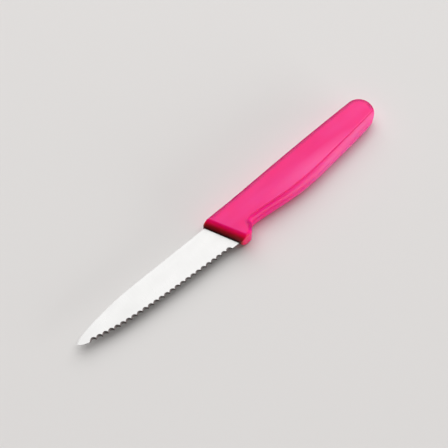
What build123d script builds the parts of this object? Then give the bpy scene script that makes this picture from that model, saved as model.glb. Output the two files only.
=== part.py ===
from build123d import *
from math import cos, radians, sin, tan
import os

# Small scalloped kitchen knife, lying on its side: a ground steel blade whose
# tang is held inside a one-piece moulded handle.
# The outlines use x from the point to the butt, y = 0 on the blade's spine and
# negative towards the edge, and z = 0 in the middle of the blade's thickness.

# Blade
blade_show = 92.9  # bare spine, point to handle
blade_height = 19.1  # spine to edge at the heel
steel_stock = 1.2
grind_start = 1.5  # below the spine, where the flat grind begins
edge_thickness = 0.36
point_thickness = 0.5
point_taper = 45.0  # length that thins towards the point
point_length = 46.0  # length over which the spine falls to the point
point_drop = 6.2
point_radius = 0.45
point_back_angle = 125.0  # where the round point meets the spine, degrees from +x
point_sweep = 100.0

# Scallops, ground from the upper face only
scallop_pitch = 3.5
scallop_depth = 1.13
scallop_wheel_radius = 3.0
scallop_wheel_reach = 3.0  # length of the wheel's cut to each side of the edge
scallop_wheel_tilt = 30.0
plain_heel = 5.2  # edge without scallops in front of the handle
plain_point = 6.0

# Tang, inside the handle
root_depth = 4.0  # full-height steel behind the handle's front
tang_length = 60.0
tang_width = 10.0
tang_top = 2.4  # below the spine
tang_round = 2.5
tang_hole_radius = 2.2
tang_hole_count = 3
tang_hole_spacing = 17.0
tang_hole_end = 8.0  # last hole's centre to the tang's end

# Handle, from the side
handle_length = 121.7  # front to butt along the spine line
handle_thickness = 12.8
front_slant = 24.5  # degrees off square
front_rise = 1.8  # handle's back above the blade's spine, at the front
rear_rise = 3.75  # and at the butt
butt_radius = 8.6
belly_depth = 18.4
belly_end_slope = 9.5
guard_depth = 20.4
notch_depth = 15.5
notch_run = 22.7  # front to the finger notch's deepest point
notch_radius = 4.2
guard_slope = 49.0  # of the guard's rear flank
knuckle_radius = 2.4
front_top_radius = 1.4
front_bottom_radius = 3.2
edge_round = 2.0

# Handle's front end, curved from the side faces down to the blade
nose_setback = 4.0
nose_bulge = 0.65
nose_round = 1.0  # all round the curve's border

# Rail along the belly, a step below the side faces
rail_step = 0.8
rail_width = 3.7
rail_front_bulge = 0.75
rail_rear_bulge = 0.3
rail_keel = 3.0  # thickness left at the belly line
rail_overrun = 12.0
step_bevel = 0.35  # on the step's upper edge and in its inner corner
guard_lift = 0.85  # of the rail on the guard's flank, which fades the step out
guard_bulge = 1.3

cut_overrun = 4.0

# Outline points as shares: x of the length, y of the depth that it follows
spine_curve_shares = [(0.50, 0.165), (0.24, 0.43)]  # point length, point drop
edge_curve_shares = [(0.72, 0.90), (0.40, 0.79), (0.20, 0.66), (0.085, 0.53)]  # bare blade, height
back_turn_share = 0.35  # of the handle's back, where its hollow curve turns to a crowned one
belly_curve_shares = [(0.342, 0.933), (0.475, 1.0), (0.635, 0.934), (0.79, 0.848)]  # handle, depth
rail_station_shares = [(0.0, 0.85), (0.2, 0.83), (0.42, 0.98), (0.7, 0.96), (1.0, 0.88)]  # belly, width
rail_lift_shares = [(0.15, 0.0), (0.6, 0.3), (1.0, 1.0)]  # notch's turn, guard lift

# Worked-out sizes and the planes that the outlines are drawn on
half_stock = steel_stock / 2
half_thickness = handle_thickness / 2
overall_length = blade_show + handle_length
middle_y = (rear_rise - guard_depth) / 2
slant = radians(front_slant)
wheel_tilt = radians(scallop_wheel_tilt)

side = Plane(origin=(-overall_length / 2, -middle_y, half_thickness))
top_view = Plane(origin=side.origin, z_dir=(0, -1, 0), x_dir=(1, 0, 0))
rear_view = Plane(origin=side.origin, z_dir=(1, 0, 0), x_dir=(0, 1, 0))
front_view = Plane(
    origin=side.from_local_coords(Vector(blade_show, 0, 0)),
    x_dir=(cos(slant), sin(slant), 0),
    z_dir=(sin(slant), -cos(slant), 0),
)


def front_x(y):
    """Where the handle's slanted front line is, at a height y."""
    return blade_show - y * tan(slant)


# Blade: its outline, thinned by the flat grind and towards the point
heel = (front_x(-blade_height) + root_depth, -blade_height)
with BuildPart() as blade:
    with BuildSketch(side):
        with BuildLine():
            point = CenterArc((point_radius, -point_drop), point_radius, point_back_angle, point_sweep)
            spine = Spline(
                point @ 0,
                *[(x * point_length, -y * point_drop) for x, y in reversed(spine_curve_shares)],
                (point_length, 0),
                tangents=[(0.87, 0.49), (1, 0)],
            )
            Polyline(spine @ 1, (front_x(0) + root_depth, 0), heel)
            edge = Spline(
                heel,
                *[(x * blade_show, -y * blade_height) for x, y in edge_curve_shares],
                point @ 1,
                tangents=[(-1, 0.04), (-0.55, 0.84)],
            )
        make_face()
    extrude(amount=half_stock, both=True)
    with BuildSketch(rear_view):
        with BuildLine():
            Polyline(
                (cut_overrun, 0),
                (cut_overrun, half_stock),
                (-grind_start, half_stock),
                (-blade_height, edge_thickness / 2),
                (-blade_height - cut_overrun, edge_thickness / 2),
                (-blade_height - cut_overrun, 0),
                close=True,
            )
        make_face()
        mirror(about=Plane.XZ)
    extrude(amount=overall_length, mode=Mode.INTERSECT)
    with BuildSketch(top_view):
        with BuildLine():
            Polyline(
                (0, 0),
                (0, point_thickness / 2),
                (point_taper, half_stock),
                (overall_length, half_stock),
                (overall_length, 0),
                close=True,
            )
        make_face()
        mirror(about=Plane.XZ)
    extrude(amount=blade_height + cut_overrun, both=True, mode=Mode.INTERSECT)

    # Scallops: a tilted round wheel cuts each one through the edge
    scalloped_length = edge.length - plain_heel - root_depth - plain_point
    scallop_count = int(scalloped_length / scallop_pitch)
    wheels = []
    for number in range(scallop_count):
        along = root_depth + plain_heel + (number + 0.5) * scallop_pitch
        foot = edge.position_at(along, position_mode=PositionMode.LENGTH)
        run = edge.tangent_at(along, position_mode=PositionMode.LENGTH)
        inward = Vector(run.Y, -run.X, 0)
        up = Vector(0, 0, 1)
        axis_direction = inward * cos(wheel_tilt) + up * sin(wheel_tilt)
        lift = up * cos(wheel_tilt) - inward * sin(wheel_tilt)
        apex = foot + inward * scallop_depth - up * (edge_thickness / 2)
        centre = apex + lift * scallop_wheel_radius
        wheel = Plane(origin=centre, x_dir=run, z_dir=axis_direction)
        wheels.append(side.location * wheel.location)
    with Locations(*wheels):
        Cylinder(scallop_wheel_radius, 2 * scallop_wheel_reach, mode=Mode.SUBTRACT)

    # Tang, with the holes that the moulded handle flows through
    tang_middle = -tang_top - tang_width / 2
    tang_end = blade_show + tang_length
    with BuildSketch(side) as tang:
        with BuildLine():
            Polyline(
                (front_x(-tang_top) + root_depth / 2, -tang_top),
                (tang_end, -tang_top),
                (tang_end, -tang_top - tang_width),
                (front_x(-tang_top - tang_width) + root_depth / 2, -tang_top - tang_width),
                close=True,
            )
        make_face()
        fillet(tang.vertices().sort_by(Axis.X)[-2:], tang_round)
        for number in range(tang_hole_count):
            with Locations((tang_end - tang_hole_end - number * tang_hole_spacing, tang_middle)):
                Circle(tang_hole_radius, mode=Mode.SUBTRACT)
    extrude(amount=half_stock, both=True)


# Belly line, from the finger notch to the butt, and the cutter of its rail
notch_x = blade_show + notch_run
flank_angle = radians(guard_slope)
bends_depth = (notch_radius + knuckle_radius) * (1 - cos(flank_angle))
flank_length = (guard_depth - notch_depth - bends_depth) / sin(flank_angle)
knuckle_x = notch_x - (notch_radius + knuckle_radius) * sin(flank_angle) - flank_length * cos(flank_angle)
butt_centre = Vector(overall_length - butt_radius, rear_rise - butt_radius)
end_slope = radians(belly_end_slope)
belly_end = butt_centre + Vector(sin(end_slope), -cos(end_slope)) * butt_radius
with BuildLine() as belly:
    Spline(
        (notch_x, -notch_depth),
        *[(blade_show + x * handle_length, -y * belly_depth) for x, y in belly_curve_shares],
        belly_end,
        tangents=[(1, 0), (cos(end_slope), sin(end_slope))],
    )


def rail_plane(share, beyond=0):
    """Plane square to the belly line: local x points into the handle, local y is z."""
    run = belly.line % share
    foot = side.from_local_coords(belly.line @ share + run * beyond)
    return Plane(origin=foot, x_dir=(-run.Y, run.X, 0), z_dir=run)


def rail_section(plane, width, bulge, lift=0):
    """Area cut off the belly's upper corner, down to a bulged bevel below a step."""
    keel = Vector(0, rail_keel / 2 + lift)
    foot = Vector(width, half_thickness - rail_step + lift)
    bevel = foot - keel
    outwards = Vector(-bevel.Y, bevel.X).normalized()
    top = half_thickness + cut_overrun
    with BuildSketch(plane) as section:
        with BuildLine():
            ThreePointArc(keel, keel + bevel / 2 + outwards * bulge, foot)
            Polyline(
                foot,
                (width, half_thickness - step_bevel + lift),
                (width + step_bevel + cut_overrun, top + lift),
                (-cut_overrun, top + lift),
                (-cut_overrun, rail_keel / 2 + lift),
                keel,
            )
        make_face()
        chamfer(section.vertices().sort_by_distance(foot)[0], step_bevel)
    return section.sketch


def notch_plane(turn_share):
    """Plane square to the finger notch's front arc, at a share of its turn."""
    turn = turn_share * flank_angle
    reach = Vector(-sin(turn), cos(turn))
    foot = side.from_local_coords(Vector(notch_x, -notch_depth - notch_radius) + reach * notch_radius)
    return Plane(origin=foot, x_dir=reach, z_dir=(cos(turn), sin(turn), 0))


with BuildPart() as rail:
    stations = [
        rail_section(
            rail_plane(share),
            width_share * rail_width,
            rail_front_bulge + share * (rail_rear_bulge - rail_front_bulge),
        )
        for share, width_share in rail_station_shares
    ]
    rear_width = rail_station_shares[-1][1] * rail_width
    loft([*stations, rail_section(rail_plane(1, rail_overrun), rear_width, rail_rear_bulge)])

    # Round the notch the rail keeps its shape at first, then lifts out of the guard's flank
    front_width = rail_station_shares[0][1] * rail_width
    notch_centre = side.from_local_coords(Vector(notch_x, -notch_depth - notch_radius))
    even_turn = rail_lift_shares[0][0] * guard_slope
    revolve(stations[0], axis=Axis(notch_centre, (0, 0, 1)), revolution_arc=even_turn)
    lifting = [
        rail_section(
            notch_plane(turn_share),
            front_width,
            rail_front_bulge + lift_share * (guard_bulge - rail_front_bulge),
            lift_share * guard_lift,
        )
        for turn_share, lift_share in rail_lift_shares
    ]
    loft(lifting)
    extrude(lifting[-1], amount=-rail_overrun)

# Handle: its upper half, with rounded edges, curved nose and stepped belly rail,
# and the same again below
with BuildPart() as handle:
    with BuildSketch(side) as outline:
        with BuildLine():
            front_top = Vector(front_x(front_rise), front_rise)
            front_foot = (front_x(-guard_depth), -guard_depth)
            Polyline(front_top, front_foot, (knuckle_x, -guard_depth))
            knuckle = JernArc((knuckle_x, -guard_depth), (1, 0), knuckle_radius, guard_slope)
            flank = Line(knuckle @ 1, knuckle @ 1 + (knuckle % 1) * flank_length)
            JernArc(flank @ 1, flank % 1, notch_radius, -guard_slope)
            add(belly.line)
            butt = CenterArc(butt_centre, butt_radius, belly_end_slope - 90, 180 - belly_end_slope)
            back_turn = front_top + (butt @ 1 - front_top) * back_turn_share
            hollow = TangentArc(front_top, back_turn, tangent=(1, 0))
            TangentArc(back_turn, butt @ 1, tangent=hollow % 1)
        make_face()
        fillet(outline.vertices().sort_by(Axis.X)[1], front_bottom_radius)
        fillet(outline.vertices().sort_by(Axis.X)[0], front_top_radius)
    extrude(amount=half_thickness)
    fillet(handle.edges().group_by(Axis.Z)[-1], edge_round)
    with BuildSketch(front_view):
        with BuildLine():
            nose_foot = Vector(0, half_stock)
            nose_top = Vector(nose_setback, half_thickness)
            nose_chord = nose_top - nose_foot
            outwards = Vector(-nose_chord.Y, nose_chord.X).normalized()
            ThreePointArc(nose_foot, nose_foot + nose_chord / 2 + outwards * nose_bulge, nose_top)
            Polyline(
                nose_top,
                (nose_setback + cut_overrun, half_thickness + cut_overrun),
                (-cut_overrun, half_thickness + cut_overrun),
                (-cut_overrun, half_stock),
                nose_foot,
            )
        make_face()
    extrude(amount=2 * guard_depth, both=True, mode=Mode.SUBTRACT)
    nose_face = handle.faces(Select.LAST).sort_by(SortBy.AREA)[-1]
    fillet(nose_face.edges(), nose_round)
    add(rail.part, mode=Mode.SUBTRACT)
    mirror(about=side)

    # The plastic is moulded round the tang and through its holes
    add(blade.part, mode=Mode.SUBTRACT)

os.makedirs("parts", exist_ok=True)
blade.part.label = "blade"
export_step(blade.part, "parts/blade.step")
handle.part.label = "handle"
export_step(handle.part, "parts/handle.step")
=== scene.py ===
# %% [markdown]
# # A tomato knife
# The knife is a thin stainless blade with small scallops ground along its edge, and a handle of
# bright pink plastic that is moulded straight round the blade's tang. The two solids come from
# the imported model, and their shapes stay as they are. What is made here is how they look: the
# ground steel, the moulded plastic, the table under them, the lamps and the camera.

# %% Load the knife
import math

import bpy
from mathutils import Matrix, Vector


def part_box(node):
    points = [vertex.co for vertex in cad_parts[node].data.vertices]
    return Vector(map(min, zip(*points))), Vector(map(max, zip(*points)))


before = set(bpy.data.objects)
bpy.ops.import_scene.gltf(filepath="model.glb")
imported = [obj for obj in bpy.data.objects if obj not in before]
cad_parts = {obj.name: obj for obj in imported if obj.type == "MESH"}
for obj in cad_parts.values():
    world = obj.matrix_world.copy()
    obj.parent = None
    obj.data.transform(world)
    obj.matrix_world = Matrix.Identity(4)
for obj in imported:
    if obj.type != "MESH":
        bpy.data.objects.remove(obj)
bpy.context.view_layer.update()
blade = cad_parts["blade"]
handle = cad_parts["handle"]

MM = 0.001
print("nodes:", sorted(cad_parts))

# %% [markdown]
# ## Camera
# The knife lies flat and is seen from above its cutting edge, over the blade's side of the
# table. Three coordinates would place the camera, but two angles and a distance from the point
# that it looks at, as on a turntable, are easier to correct against a photograph. So its place
# is worked out from them here.

# %% Aim the camera
knife_middle_x = (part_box("blade")[0].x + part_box("handle")[1].x) / 2
knife_middle_y = (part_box("handle")[0].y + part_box("handle")[1].y) / 2
blade_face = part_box("blade")[1].z

aim_towards_point = 4.56 * MM
aim_towards_back = 3.29 * MM
aim_at = Vector((
    knife_middle_x - aim_towards_point, knife_middle_y + aim_towards_back, blade_face
))
view_azimuth = math.radians(-41.5)
view_elevation = math.radians(65)
view_distance = 571 * MM


def direction_to(azimuth, elevation):
    """The direction from the knife to something seen at two angles, in radians."""
    return Vector((
        math.sin(azimuth) * math.cos(elevation),
        -math.cos(azimuth) * math.cos(elevation),
        math.sin(elevation),
    ))


towards_camera = direction_to(view_azimuth, view_elevation)
print("camera stands towards:", [round(value, 3) for value in towards_camera])

# %% Make the camera
focal_length_mm = 83.9
sensor_width_mm = 36
nearest_seen = 10 * MM

camera_data = bpy.data.cameras.new("product_camera")
camera_data.lens = focal_length_mm
camera_data.sensor_width = sensor_width_mm
camera_data.clip_start = nearest_seen
camera = bpy.data.objects.new("product_camera", camera_data)
camera.location = aim_at + towards_camera * view_distance
camera.rotation_euler = (-towards_camera).to_track_quat("-Z", "Y").to_euler()
bpy.context.scene.collection.objects.link(camera)
bpy.context.scene.camera = camera
bpy.context.scene.view_settings.view_transform = "Standard"
print("camera at, mm:", [round(value / MM) for value in camera.location])

# %% [markdown]
# ## Table
# The table is a pale, matt, slightly warm grey surface. A small plane would do for this one view,
# but its edge would show in low ones, so it is a wide round disc whose edge is metres away.

# %% Make the table
table_radius = 6.0
table_corners = 96
table_grey = (0.72, 0.71, 0.70)
table_roughness = 0.9
table_shine = 0.2

matt_table = bpy.data.materials.new("matt pale table")
matt_table.use_nodes = True
table_shader = matt_table.node_tree.nodes["Principled BSDF"]
table_shader.inputs["Base Color"].default_value = (*table_grey, 1)
table_shader.inputs["Roughness"].default_value = table_roughness
table_shader.inputs["Specular IOR Level"].default_value = table_shine

table_edge = [
    (table_radius * math.cos(turn), table_radius * math.sin(turn), 0)
    for turn in (2 * math.pi * step / table_corners for step in range(table_corners))
]
table_mesh = bpy.data.meshes.new("table_top")
table_mesh.from_pydata(table_edge, [], [list(range(table_corners))])
table = bpy.data.objects.new("table_top", table_mesh)
table.data.materials.append(matt_table)
bpy.context.scene.collection.objects.link(table)
print("table radius, m:", table_radius)

# %% [markdown]
# ## Room
# A studio isn't equally bright all round. Here it is pale behind the butt, where the light comes
# in, and dim on the side where the photographer stands. So the handle's nose, which faces the dim
# side, falls into shade, and the small facets of the scallops have something dark to mirror. A
# room of walls would do this too, but one colour for every direction is lighter work: the world's
# own direction, the Generated output of the Texture Coordinate node, tells the two sides apart.

# %% Light the room
room_tint = (1.0, 0.93, 0.91)
room_dim = 0.08
room_pale = 0.6
pale_side = math.radians(120)
still_dim_at = 0.1
fully_pale_at = 0.9

room = bpy.data.worlds.new("studio_room")
bpy.context.scene.world = room
room.use_nodes = True
nodes = room.node_tree.nodes
links = room.node_tree.links
background = nodes["Background"]
background.inputs["Color"].default_value = (*room_tint, 1)
looked_along = nodes.new("ShaderNodeTexCoord")
towards_pale_side = nodes.new("ShaderNodeVectorMath")
towards_pale_side.operation = "DOT_PRODUCT"
towards_pale_side.inputs[1].default_value = direction_to(pale_side, 0)
links.new(looked_along.outputs["Generated"], towards_pale_side.inputs[0])
room_level = nodes.new("ShaderNodeMapRange")
room_level.inputs["From Min"].default_value = still_dim_at
room_level.inputs["From Max"].default_value = fully_pale_at
room_level.inputs["To Min"].default_value = room_dim
room_level.inputs["To Max"].default_value = room_pale
links.new(towards_pale_side.outputs["Value"], room_level.inputs["Value"])
links.new(room_level.outputs["Result"], background.inputs["Strength"])
print("room level, dim side to pale side:", room_dim, room_pale)

# %% [markdown]
# ## Lamps
# A satin blade shows whatever lies where a mirror would look, so most of the light comes from one
# very large soft lamp overhead that the blade reflects whole. It hangs on the far side of the
# spine, and so the shadow falls on the cutting edge's side. A second lamp, wide and low, stands
# beyond the belly and lights the belly's rail from the side. A small lamp close by would do that
# too, but in low views the table in front of it would glare, so this one stands beyond the
# table's edge.

# %% Hang the lamps
def soft_lamp(name, azimuth, elevation, distance, size, watts):
    """A rectangular lamp that faces the knife, seen from it at two angles, in degrees."""
    direction = direction_to(math.radians(azimuth), math.radians(elevation))
    data = bpy.data.lights.new(name, "AREA")
    data.shape = "RECTANGLE"
    data.size, data.size_y = size
    data.energy = watts
    lamp = bpy.data.objects.new(name, data)
    lamp.location = aim_at + direction * distance
    lamp.rotation_euler = direction.to_track_quat("Z", "Y").to_euler()
    bpy.context.scene.collection.objects.link(lamp)
    return lamp


lamps = [
    soft_lamp(
        "overhead_lamp", azimuth=138, elevation=62, distance=3.0, size=(4.5, 4.4), watts=129
    ),
    soft_lamp("belly_lamp", azimuth=26, elevation=9, distance=8.0, size=(8.0, 2.4), watts=350),
]
for lamp in lamps:
    print(lamp.name, "at, m:", [round(value, 2) for value in lamp.location])

# %% [markdown]
# ## Shared effects
# Both the steel and the plastic need the same few measurements of their surface: whether it lies
# on a flat side, long thin marks, and slow changes of tone. Each could be wired again in every
# material. As a shader node group with named inputs it is built once, and each material sets its
# own values on it.

# %% Helpers for node groups
def effect_group(name, inputs, output):
    """A node group with these inputs, as name: (kind, value). Returns its tree, in and out."""
    tree = bpy.data.node_groups.new(name, "ShaderNodeTree")
    for label, (kind, value) in inputs.items():
        socket = tree.interface.new_socket(label, in_out="INPUT", socket_type=kind)
        if value is not None:
            socket.default_value = value
    tree.interface.new_socket(output, in_out="OUTPUT", socket_type="NodeSocketFloat")
    return tree, tree.nodes.new("NodeGroupInput"), tree.nodes.new("NodeGroupOutput")


def feed(tree, socket, value):
    """Gives an input socket a number or links another socket to it."""
    if isinstance(value, (int, float)):
        socket.default_value = value
    else:
        tree.links.new(value, socket)


def math_node(tree, operation, *values):
    """A Math node whose inputs are numbers or sockets. Returns its output socket."""
    node = tree.nodes.new("ShaderNodeMath")
    node.operation = operation
    for slot, value in enumerate(values):
        feed(tree, node.inputs[slot], value)
    return node.outputs[0]


def along_axis(tree, vector, axis):
    """One coordinate of a vector socket. Returns the output socket."""
    parts = tree.nodes.new("ShaderNodeSeparateXYZ")
    tree.links.new(vector, parts.inputs[0])
    return parts.outputs[axis]


def facing(tree):
    """The way that the surface faces, in the part's own frame. Returns the output socket."""
    return tree.nodes.new("ShaderNodeTexCoord").outputs["Normal"]


print("helpers for node groups: 5")

# %% [markdown]
# The first effect is a mask for flat sides. On a knife that lies down, a flat side is where the
# surface points straight up or down, so the mask reads the third part of the object's own normal.
# It needs no painting and holds from any side.

# %% Flat side mask
def build_flat_side():
    tree, given, result = effect_group("Flat side", {
        "Steepest": ("NodeSocketFloat", 0.9),
        "Flattest": ("NodeSocketFloat", 0.99),
    }, "Mask")
    upright = math_node(tree, "ABSOLUTE", along_axis(tree, facing(tree), "Z"))
    smooth_step = tree.nodes.new("ShaderNodeMapRange")
    smooth_step.interpolation_type = "SMOOTHSTEP"
    tree.links.new(upright, smooth_step.inputs["Value"])
    tree.links.new(given.outputs["Steepest"], smooth_step.inputs["From Min"])
    tree.links.new(given.outputs["Flattest"], smooth_step.inputs["From Max"])
    tree.links.new(smooth_step.outputs["Result"], result.inputs["Mask"])
    return tree


flat_side = build_flat_side()
print("group:", flat_side.name)

# %% [markdown]
# The other two effects are noise that is drawn out. A Noise texture has cells of one unit, so a
# place that is first divided, axis by axis, by three sizes gives cells of those sizes.

# %% Helpers for noise
def stretched_place(tree, place, divisors):
    """The place divided, axis by axis, by three sizes. Returns the output socket."""
    sizes = tree.nodes.new("ShaderNodeCombineXYZ")
    for axis, divisor in enumerate(divisors):
        feed(tree, sizes.inputs[axis], divisor)
    divide = tree.nodes.new("ShaderNodeVectorMath")
    divide.operation = "DIVIDE"
    tree.links.new(place, divide.inputs[0])
    tree.links.new(sizes.outputs[0], divide.inputs[1])
    return divide.outputs[0]


def noise(tree, place, detail, roughness=0.5):
    """A Noise texture with cells of one unit. Returns its output socket, a value about 0.5."""
    node = tree.nodes.new("ShaderNodeTexNoise")
    node.inputs["Scale"].default_value = 1
    node.inputs["Detail"].default_value = detail
    node.inputs["Roughness"].default_value = roughness
    tree.links.new(place, node.inputs["Vector"])
    return node.outputs["Fac"]


print("helpers for noise: 2")

# %% [markdown]
# Long thin marks are what a grinding belt leaves on steel and what years in a drawer leave on
# plastic. Noise that is narrow across and long along gives them, with some finer detail in it
# because no two scratches are alike.

# %% Long marks
marks_detail = 3
marks_roughness = 0.6


def build_long_marks():
    tree, given, result = effect_group("Long marks", {
        "Place": ("NodeSocketVector", None),
        "Size X": ("NodeSocketFloat", 1.0),
        "Size Y": ("NodeSocketFloat", 1.0),
        "Size Z": ("NodeSocketFloat", 1.0),
    }, "Marks")
    sizes = [given.outputs["Size " + axis] for axis in "XYZ"]
    place = stretched_place(tree, given.outputs["Place"], sizes)
    tree.links.new(noise(tree, place, marks_detail, marks_roughness), result.inputs["Marks"])
    return tree


long_marks = build_long_marks()
print("group:", long_marks.name)

# %% [markdown]
# Slow clouds are a few millimetres to a few centimetres across. No real surface is the same all
# over: plastic cools unevenly in its mould, and steel is wiped and handled.

# %% Slow clouds
clouds_detail = 2


def build_slow_clouds():
    tree, given, result = effect_group("Slow clouds", {
        "Place": ("NodeSocketVector", None),
        "Length": ("NodeSocketFloat", 30.0),
        "Width": ("NodeSocketFloat", 10.0),
    }, "Cloud")
    sizes = [given.outputs[label] for label in ("Length", "Width", "Width")]
    place = stretched_place(tree, given.outputs["Place"], sizes)
    tree.links.new(noise(tree, place, clouds_detail), result.inputs["Cloud"])
    return tree


slow_clouds = build_slow_clouds()
print("group:", slow_clouds.name)

# %% [markdown]
# ## Steps that both materials take
# A material here is a chain of a few kinds of step: place a shared effect, read the place in
# millimetres, turn one range of values into another, mix two colours or two values, raise bumps.
# They could be wired one by one, but a small function for each keeps the materials short enough
# to read.

# %% Helpers for places and effects
def place_in_mm(tree):
    """The place on the knife in millimetres. Returns the output socket."""
    coordinates = tree.nodes.new("ShaderNodeTexCoord")
    scale = tree.nodes.new("ShaderNodeVectorMath")
    scale.operation = "SCALE"
    scale.inputs["Scale"].default_value = 1 / MM
    tree.links.new(coordinates.outputs["Object"], scale.inputs[0])
    return scale.outputs[0]


def place_group(tree, group, **values):
    """Puts a shared effect in a material. Underscores in a name stand for spaces."""
    node = tree.nodes.new("ShaderNodeGroup")
    node.node_tree = group
    for label, value in values.items():
        feed(tree, node.inputs[label.replace("_", " ")], value)
    return node.outputs[0]


print("helpers for places and effects: 2")

# %% Helpers for values and colours
MIX_FIRST, MIX_SECOND, MIX_RESULT = 6, 7, 2  # the Mix node's colour sockets
noise_range = (0.3, 0.7)  # nearly all of a Noise texture's values lie in it


def ramp(tree, value, low, high, at_low=0.0, at_high=1.0):
    """Turns a value between low and high into one between at_low and at_high."""
    node = tree.nodes.new("ShaderNodeMapRange")
    numbers = {"From Min": low, "From Max": high, "To Min": at_low, "To Max": at_high}
    for label, number in numbers.items():
        node.inputs[label].default_value = number
    tree.links.new(value, node.inputs["Value"])
    return node.outputs["Result"]


def blend_values(tree, factor, at_zero, at_one):
    """Mixes two numbers or sockets by a factor socket. Returns the output socket."""
    change = math_node(tree, "SUBTRACT", at_one, at_zero)
    return math_node(tree, "MULTIPLY_ADD", factor, change, at_zero)


def blend_colours(tree, factor, at_zero, at_one):
    """Mixes two colours or colour sockets by a factor socket. Returns the output socket."""
    node = tree.nodes.new("ShaderNodeMix")
    node.data_type = "RGBA"
    tree.links.new(factor, node.inputs["Factor"])
    for slot, value in ((MIX_FIRST, at_zero), (MIX_SECOND, at_one)):
        if isinstance(value, tuple):
            node.inputs[slot].default_value = (*value, 1)
        else:
            tree.links.new(value, node.inputs[slot])
    return node.outputs[MIX_RESULT]


def bumps(tree, height, depth):
    """Turns a height between 0 and 1 into bumps of a depth in metres. Returns the normal."""
    node = tree.nodes.new("ShaderNodeBump")
    node.inputs["Distance"].default_value = depth
    tree.links.new(height, node.inputs["Height"])
    return node.outputs[0]


print("noise is read between:", noise_range)

# %% [markdown]
# ## Blade steel
# The blade is stainless strip, ground across from spine to edge and left satin. Fine lines run
# across it, so the marks are narrow along the knife and long across it. The scallops are cut
# afterwards by a narrow wheel, which leaves a coarser, rougher surface. Their facets are also
# painted darker and a little warmer than the flat side, as painted shade for the dim room that
# they mirror. A texture of scratches could be painted, but drawn-out noise stays sharp at every
# distance and needs no seams.

# %% Steel values
flat_steel_tones = ((0.405, 0.405, 0.401), (0.445, 0.445, 0.441))
# painted shade: the scallop facets' steel is darker and warmer than the flat side
scallop_steel_painted_shade = (0.21, 0.185, 0.18)
satin_roughness = (0.27, 0.36)
wiping_change = (-0.03, 0.03)
scallop_roughness = 0.5
grinding_depth = 0.004 * MM
print("grinding lines are deep, mm:", grinding_depth / MM)

# %% Blade steel
def build_blade_steel():
    material = bpy.data.materials.new("satin blade steel")
    material.use_nodes = True
    tree = material.node_tree
    shader = tree.nodes["Principled BSDF"]
    shader.inputs["Metallic"].default_value = 1
    place = place_in_mm(tree)
    flat = place_group(tree, flat_side, Steepest=0.93, Flattest=0.985)
    grinding = place_group(tree, long_marks, Place=place, Size_X=0.09, Size_Y=9.0, Size_Z=9.0)
    wiping = place_group(tree, slow_clouds, Place=place, Length=14.0, Width=6.0)

    flat_steel = blend_colours(tree, ramp(tree, grinding, *noise_range), *flat_steel_tones)
    # painted shade on the scallop facets
    steel = blend_colours(tree, flat, scallop_steel_painted_shade, flat_steel)
    tree.links.new(steel, shader.inputs["Base Color"])

    satin = math_node(
        tree, "ADD",
        ramp(tree, grinding, *noise_range, *satin_roughness),
        ramp(tree, wiping, *noise_range, *wiping_change),
    )
    roughness = blend_values(tree, flat, scallop_roughness, satin)
    tree.links.new(roughness, shader.inputs["Roughness"])
    tree.links.new(bumps(tree, grinding, grinding_depth), shader.inputs["Normal"])
    return material


blade_steel = build_blade_steel()
print("material:", blade_steel.name)

# %% [markdown]
# ## Handle plastic
# The handle is injection-moulded polypropylene in one strong pink, and yet it isn't one pink all
# over. The flat sides are matt and scatter a little white light. The side is painted paler in a
# long patch beside the rail, as painted light, and the crease between side and rail is painted
# deeper, as painted shade. The walls are smoother, and painted paler towards the butt, as a
# painted sheen. The rounded rims of the back and the butt are polished by handling, and their pink
# is painted deepest, as painted shade. At the nose the pink is painted crimson and then dark
# towards the blade, as painted shade.
#
# Each of these needs a mask that is one on its own part of the handle and zero elsewhere. Masks
# can be painted on a mesh, but these are worked out from a point's place and from the way that
# the surface faces there, so nothing is painted again when the mesh is built anew.

# %% Measure the handle
mould_joint = (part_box("handle")[0].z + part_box("handle")[1].z) / 2 / MM
heel_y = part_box("blade")[0].y / MM
guard_foot_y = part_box("handle")[0].y / MM


def towards(tree, vector, direction):
    """How far a vector socket reaches along a chosen direction. Returns the output socket."""
    node = tree.nodes.new("ShaderNodeVectorMath")
    node.operation = "DOT_PRODUCT"
    node.inputs[1].default_value = direction
    tree.links.new(vector, node.inputs[0])
    return node.outputs["Value"]


def height_above_joint(tree, place):
    """The distance from the mould's joint, in mm, upwards or downwards."""
    above_joint = math_node(tree, "SUBTRACT", along_axis(tree, place, "Z"), mould_joint)
    return math_node(tree, "ABSOLUTE", above_joint)


print("mould joint, mm above the table:", round(mould_joint, 2))

# %% [markdown]
# The polish on a rim, and the shade painted on it, reach a little way onto the flat side beside
# it. The Bevel node gives the direction that the surface would have if its edges were rounded by
# a chosen radius, so a mask made from that reaches just as far. It gives the direction in the
# world's frame, and Vector Transform brings it into the part's.

# %% Mask for the rims
rim_reach = 4.5 * MM
rim_samples = 8
back_and_butt = (0.75, 0.66, 0.0)
from_side_to_rim = (0.995, 0.95)
from_wall_to_rim = (0.05, 0.30)
from_belly_to_back = (-0.05, 0.12)


def build_rim_polish_and_shade_mask(tree):
    """One on the rounded rims of the back and the butt."""
    rounded = tree.nodes.new("ShaderNodeBevel")
    rounded.samples = rim_samples
    rounded.inputs["Radius"].default_value = rim_reach
    own_frame = tree.nodes.new("ShaderNodeVectorTransform")
    own_frame.vector_type = "NORMAL"
    own_frame.convert_from = "WORLD"
    own_frame.convert_to = "OBJECT"
    tree.links.new(rounded.outputs["Normal"], own_frame.inputs[0])
    upright = math_node(tree, "ABSOLUTE", along_axis(tree, own_frame.outputs[0], "Z"))
    rim = math_node(
        tree, "MULTIPLY",
        ramp(tree, upright, *from_side_to_rim), ramp(tree, upright, *from_wall_to_rim),
    )
    there = ramp(tree, towards(tree, own_frame.outputs[0], back_and_butt), *from_belly_to_back)
    return math_node(tree, "MULTIPLY", rim, there)


print("polish reaches past the rims, mm:", rim_reach / MM)
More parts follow.
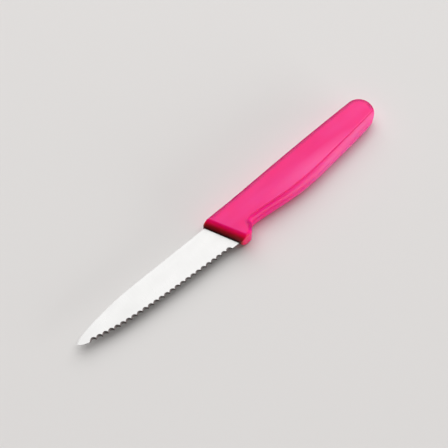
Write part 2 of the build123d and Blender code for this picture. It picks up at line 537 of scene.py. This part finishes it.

# %% [markdown]
# The paler patch of painted light on the side is a soft ball of influence, drawn out along the
# handle: the distance from its middle, measured in shares of its reach, fades it out. The crease
# that gets painted shade is found by height alone, because the belly's rail lies one small step
# below the side.

# %% Masks for the patch of painted light and the crease of painted shade
# painted light: a paler patch on the side beside the rail
painted_light_middle = (57.0, -4.5, 2 * mould_joint)
painted_light_reach = (38.0, 6.5, 4.0)
painted_light_fades_in = (1.0, 0.2)
crease_from_rail = (5.15, 5.5)
crease_from_side = (6.39, 6.2)


def build_painted_light_mask(tree, place):
    """One in the middle of the patch of painted light, fading to zero at its reach."""
    apart = tree.nodes.new("ShaderNodeVectorMath")
    apart.operation = "SUBTRACT"
    apart.inputs[1].default_value = painted_light_middle
    tree.links.new(place, apart.inputs[0])
    share_of_reach = tree.nodes.new("ShaderNodeVectorMath")
    share_of_reach.operation = "LENGTH"
    stretched = stretched_place(tree, apart.outputs[0], painted_light_reach)
    tree.links.new(stretched, share_of_reach.inputs[0])
    return ramp(tree, share_of_reach.outputs["Value"], *painted_light_fades_in)


def build_painted_crease_shade_mask(tree, place):
    """One in the crease between the side and the belly's rail, where shade is painted."""
    height = height_above_joint(tree, place)
    return math_node(
        tree, "MULTIPLY",
        ramp(tree, height, *crease_from_rail), ramp(tree, height, *crease_from_side),
    )


print("rubbed patch, mm:", painted_light_middle, "reach, mm:", painted_light_reach)

# %% [markdown]
# The nose is the handle's front face. It slants, so its mask compares the way that the surface
# faces with the slanted direction. Other walls on the belly's side face partly that way too, and
# a second test leaves them out: the point has to lie far enough forwards.

# %% Mask for the nose
nose_slant = math.radians(24.5)
forwards = (-math.cos(nose_slant), -math.sin(nose_slant), 0)
from_wall_to_nose = (0.15, 0.40)
from_behind_to_nose = (3.5, 5.5)


def build_nose_mask(tree, place):
    """One on the handle's front face and on the foot of the guard."""
    faces_forwards = ramp(tree, towards(tree, facing(tree), forwards), *from_wall_to_nose)
    lies_in_front = ramp(tree, towards(tree, place, forwards), *from_behind_to_nose)
    return math_node(tree, "MULTIPLY", faces_forwards, lies_in_front)


print("nose slants by, degrees:", round(math.degrees(nose_slant), 1))

# %% [markdown]
# How far the painted shade has darkened the crimson depends on the height above the mould's joint,
# where the blade comes out. Past the blade's heel it turns pink again towards the foot of the
# guard. A Color Ramp holds the four colours on the way.

# %% Painted shade colours for the nose
# painted shade: crimson darkening towards the blade
nose_painted_shade_colours = (
    (0.20, (0.070, 0.0001, 0.0005)),
    (0.60, (0.480, 0.0003, 0.009)),
    (0.80, (0.930, 0.0010, 0.085)),
    (1.00, (0.990, 0.0040, 0.210)),
)
pinkness_at_foot = 0.88


def build_nose_painted_shade(tree, place):
    """Painted shade: dark crimson at the blade, turning pink towards the side and the guard's
    foot.
    """
    node = tree.nodes.new("ShaderNodeValToRGB")
    share_of_height = math_node(tree, "DIVIDE", height_above_joint(tree, place), mould_joint)
    past_the_heel = ramp(
        tree, along_axis(tree, place, "Y"), heel_y, guard_foot_y, 0.0, pinkness_at_foot
    )
    pinkness = math_node(tree, "MAXIMUM", share_of_height, past_the_heel)
    tree.links.new(pinkness, node.inputs[0])
    stops = node.color_ramp.elements
    while len(stops) < len(nose_painted_shade_colours):
        stops.new(1)
    for stop, (position, colour) in zip(stops, nose_painted_shade_colours):
        stop.position = position
        stop.color = (*colour, 1)
    return node.outputs["Color"]


print("colours on the nose:", len(nose_painted_shade_colours))

# %% [markdown]
# Now the pinks. Each is laid over those before it by its own mask, from the widest area to the
# smallest, as a painter would work. The paler patch on the side and the paler rear of the walls
# are painted light; the deeper crease, the deeper rims and the dark nose are painted shade.

# %% Mix the pinks
cooling_range = (0.32, 0.68)
side_pinks = ((0.87, 0.010, 0.222), (0.905, 0.034, 0.282))
# painted light: the paler pink of the patch on the side
painted_light_pink = (0.92, 0.085, 0.345)
# the second wall pink is a painted sheen, paler towards the butt
wall_pink_and_painted_sheen = ((0.97, 0.008, 0.235), (0.99, 0.082, 0.345))
painted_sheen_between = (25.0, 65.0)
# painted shade: the crease is painted a deeper pink
painted_crease_shade_pink = (0.86, 0.001, 0.200)
# painted shade: the rims of the back and the butt are painted a deeper pink
rim_painted_shade_pink = (0.46, 0.0003, 0.125)


def build_pink(tree, place, flat, rim_polish_and_shade_mask):
    """The handle's colour with its painted light and shade, from its widest areas to its smallest.
    """
    cooling = place_group(tree, slow_clouds, Place=place, Length=46.0, Width=11.0)
    matt_side = blend_colours(tree, ramp(tree, cooling, *cooling_range), *side_pinks)
    # painted light: the paler patch on the side
    side = blend_colours(tree, build_painted_light_mask(tree, place), matt_side, painted_light_pink)
    # painted sheen: the walls turn paler towards the butt
    painted_sheen_towards_butt = ramp(tree, along_axis(tree, place, "X"), *painted_sheen_between)
    walls = blend_colours(tree, painted_sheen_towards_butt, *wall_pink_and_painted_sheen)
    pink = blend_colours(tree, flat, walls, side)
    # painted shade in the crease
    pink = blend_colours(tree, build_painted_crease_shade_mask(tree, place), pink, painted_crease_shade_pink)
    # painted shade on the rims
    pink = blend_colours(tree, rim_polish_and_shade_mask, pink, rim_painted_shade_pink)
    # painted shade on the nose, crimson darkening towards the blade
    return blend_colours(
        tree, build_nose_mask(tree, place), pink, build_nose_painted_shade(tree, place)
    )


print("wall turns paler between, mm:", painted_sheen_between)

# %% [markdown]
# The matt sides carry a fine sparked grain from the mould and a few thin scuffs, which are a
# little smoother than the grain round them. The walls slid out of the mould and came out
# smoother, and the rims are polished.

# %% Mix the roughness
side_roughness = (0.42, 0.52)
wall_roughness = 0.36
rim_roughness = 0.15
scuffs_show = (0.62, 0.8)
scuffs_smooth_by = (0.0, -0.10)


def build_roughness(tree, place, flat, rim_polish_and_shade_mask, grain):
    """The handle's roughness: grained sides with scuffs, smoother walls, polished rims."""
    scuffs = place_group(tree, long_marks, Place=place, Size_X=9.0, Size_Y=0.16, Size_Z=0.16)
    side = math_node(
        tree, "ADD",
        ramp(tree, grain, *noise_range, *side_roughness),
        ramp(tree, scuffs, *scuffs_show, *scuffs_smooth_by),
    )
    moulded = blend_values(tree, flat, wall_roughness, side)
    return blend_values(tree, rim_polish_and_shade_mask, moulded, rim_roughness)


print("roughness of side, wall and rim:", side_roughness, wall_roughness, rim_roughness)

# %% [markdown]
# Last, the plastic itself. The two halves of the mould meet halfway up the side walls and leave a
# hair-thin ridge. It could be modelled, but it is far too low to show in the outline, so it is
# raised with the same Bump node as the grain. A little light travels under the skin, and the
# subsurface settings of the Principled shader do that: red goes furthest.

# %% Plastic values
plastic_settings = {
    "IOR": 1.49,
    "Specular IOR Level": 0.26,
    "Subsurface Weight": 0.8,
    "Subsurface Radius": (1.0, 0.12, 0.3),
    "Subsurface Scale": 6.0 * MM,
}
grain_size = 0.22
grain_detail = 2
ridge_narrows = (0.12, 0.05)
ridge_height = 0.3
relief_depth = 0.02 * MM
print("grain size, mm:", grain_size, "depth, mm:", relief_depth / MM)

# %% Handle plastic
def build_handle_plastic():
    material = bpy.data.materials.new("moulded pink plastic")
    material.use_nodes = True
    tree = material.node_tree
    shader = tree.nodes["Principled BSDF"]
    for label, value in plastic_settings.items():
        shader.inputs[label].default_value = value
    place = place_in_mm(tree)
    flat = place_group(tree, flat_side, Steepest=0.96, Flattest=0.998)
    rim_polish_and_shade_mask = build_rim_polish_and_shade_mask(tree)
    grain = noise(tree, stretched_place(tree, place, [grain_size] * 3), grain_detail)

    pink = build_pink(tree, place, flat, rim_polish_and_shade_mask)
    roughness = build_roughness(tree, place, flat, rim_polish_and_shade_mask, grain)
    ridge = ramp(tree, height_above_joint(tree, place), *ridge_narrows, 0.0, ridge_height)
    relief = math_node(tree, "ADD", math_node(tree, "MULTIPLY", grain, flat), ridge)
    tree.links.new(pink, shader.inputs["Base Color"])
    tree.links.new(roughness, shader.inputs["Roughness"])
    tree.links.new(bumps(tree, relief, relief_depth), shader.inputs["Normal"])
    return material


handle_plastic = build_handle_plastic()
print("material:", handle_plastic.name)

# %% [markdown]
# ## Dress the knife
# The solids already sit where they belong, so dressing them is only a matter of filling their
# material slots. Their meshes stay as imported.

# %% Dress the knife
for solid, material in ((blade, blade_steel), (handle, handle_plastic)):
    solid.data.materials.clear()
    solid.data.materials.append(material)
    print(solid.name, "wears", material.name)
